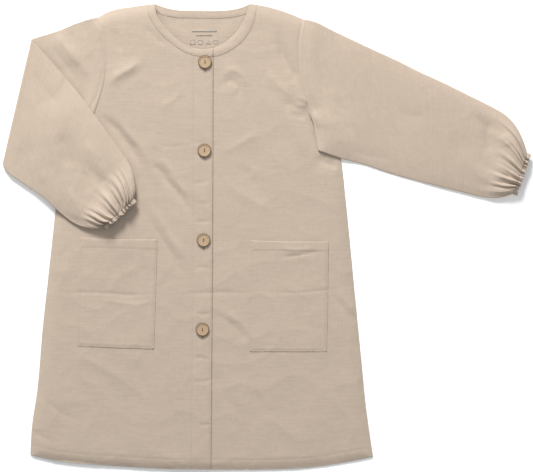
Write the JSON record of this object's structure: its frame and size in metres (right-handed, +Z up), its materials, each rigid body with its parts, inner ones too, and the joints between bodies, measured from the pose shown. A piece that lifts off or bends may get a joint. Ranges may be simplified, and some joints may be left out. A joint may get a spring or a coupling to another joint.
{
  "type": "artist smock",
  "caption": "Long-sleeved, knee-length artist smock laid flat: round bound neck, overlapping fronts closed by wooden buttons, patch pockets and elasticated cuffs, right sleeve folded over.",
  "frame": {"origin": "on the table under the garment, on its centre line, half way between neck and hem", "axes": "+X towards the wearer's left side, +Y towards the neck, +Z up from the table, out of the front"},
  "size_m": [1.0571, 0.9336, 0.029],
  "materials": {
    "smock_cloth": "plain-woven cotton, matt, soft creases",
    "facing_cloth": "the same cotton, inside face",
    "binding_cloth": "the same cotton cut on the bias",
    "sewing_thread": "spun polyester thread, beige",
    "button_wood": "turned light wood with darker rim, satin",
    "elastic_band": "covered rubber elastic",
    "print_ink": "screen print, matt"
  },
  "bodies": {
    "torso": {"back_panel": "smock_cloth", "right_front_side": "smock_cloth", "left_front_side": "smock_cloth", "right_side_seam": "facing_cloth", "left_side_seam": "facing_cloth", "right_shoulder_seam": "facing_cloth", "left_shoulder_seam": "facing_cloth", "right_armhole_seam": "facing_cloth", "left_armhole_seam": "facing_cloth", "hem_fold": "facing_cloth", "neck_binding_back": "binding_cloth", "neck_size_mark": "print_ink", "right_pocket": "smock_cloth", "left_pocket": "smock_cloth", "right_pocket_stitching": "sewing_thread", "left_pocket_stitching": "sewing_thread"},
    "right_front": {"right_front_flap": "smock_cloth", "right_front_facing": "facing_cloth", "right_flap_hem": "facing_cloth", "neck_binding_right": "binding_cloth", "buttonhole_stitches": "sewing_thread", "placket_stitching": "sewing_thread"},
    "left_front": {"left_front_flap": "smock_cloth", "left_front_facing": "facing_cloth", "left_flap_hem": "facing_cloth", "neck_binding_left": "binding_cloth"},
    "right_upper_sleeve": {"right_sleeve_upper": "smock_cloth"},
    "right_forearm": {"right_sleeve_lower": "smock_cloth", "right_cuff_casing": "smock_cloth", "right_cuff_elastic": "elastic_band"},
    "left_upper_sleeve": {"left_sleeve_upper": "smock_cloth"},
    "left_forearm": {"left_sleeve_lower": "smock_cloth", "left_cuff_casing": "smock_cloth", "left_cuff_elastic": "elastic_band"},
    "button_unit_1": {"button_1": "button_wood", "button_thread_1": "sewing_thread"},
    "button_unit_2": {"button_2": "button_wood", "button_thread_2": "sewing_thread"},
    "button_unit_3": {"button_3": "button_wood", "button_thread_3": "sewing_thread"},
    "button_unit_4": {"button_4": "button_wood", "button_thread_4": "sewing_thread"}
  },
  "joints": [
    {"name": "right_front_open", "type": "hinge", "parent": "torso", "child": "right_front", "pos_m": [-0.084, 0, 0.00945], "axis": [0, -1, 0], "range_deg": [0, 140]},
    {"name": "left_front_open", "type": "hinge", "parent": "torso", "child": "left_front", "pos_m": [0.086, 0, 0.00725], "axis": [0, 1, 0], "range_deg": [0, 63]},
    {"name": "right_shoulder_swing", "type": "hinge", "parent": "torso", "child": "right_upper_sleeve", "pos_m": [-0.202, 0.36, 0.008], "axis": [0, 0, -1], "range_deg": [-8, 12]},
    {"name": "right_elbow_fold", "type": "hinge", "parent": "right_upper_sleeve", "child": "right_forearm", "pos_m": [-0.342, 0.3924, 0.0036], "axis": [-0.2263, -0.9741, 0], "range_deg": [0, 172]},
    {"name": "left_shoulder_swing", "type": "hinge", "parent": "torso", "child": "left_upper_sleeve", "pos_m": [0.196, 0.35, 0.006], "axis": [0, 0, 1], "range_deg": [-8, 12]},
    {"name": "left_elbow_fold", "type": "hinge", "parent": "left_upper_sleeve", "child": "left_forearm", "pos_m": [0.3416, 0.3712, 0.0076], "axis": [0.2242, -0.9745, 0], "range_deg": [0, 172]},
    {"name": "button_1_turn", "type": "hinge", "parent": "left_front", "child": "button_unit_1", "pos_m": [0.006, 0.346, 0.0114], "axis": [0, 0, 1], "range_deg": [-40, 40]},
    {"name": "button_2_turn", "type": "hinge", "parent": "left_front", "child": "button_unit_2", "pos_m": [0.0048, 0.1692, 0.0114], "axis": [0, 0, 1], "range_deg": [-40, 40]},
    {"name": "button_3_turn", "type": "hinge", "parent": "left_front", "child": "button_unit_3", "pos_m": [0.0032, -0.0102, 0.0114], "axis": [0, 0, 1], "range_deg": [-40, 40]},
    {"name": "button_4_turn", "type": "hinge", "parent": "left_front", "child": "button_unit_4", "pos_m": [0.001, -0.1888, 0.0114], "axis": [0, 0, 1], "range_deg": [-40, 40]}
  ],
  "couplings": [
    {"joint": "left_front_open", "follows": "right_front_open", "ratio": 0.45}
  ]
}
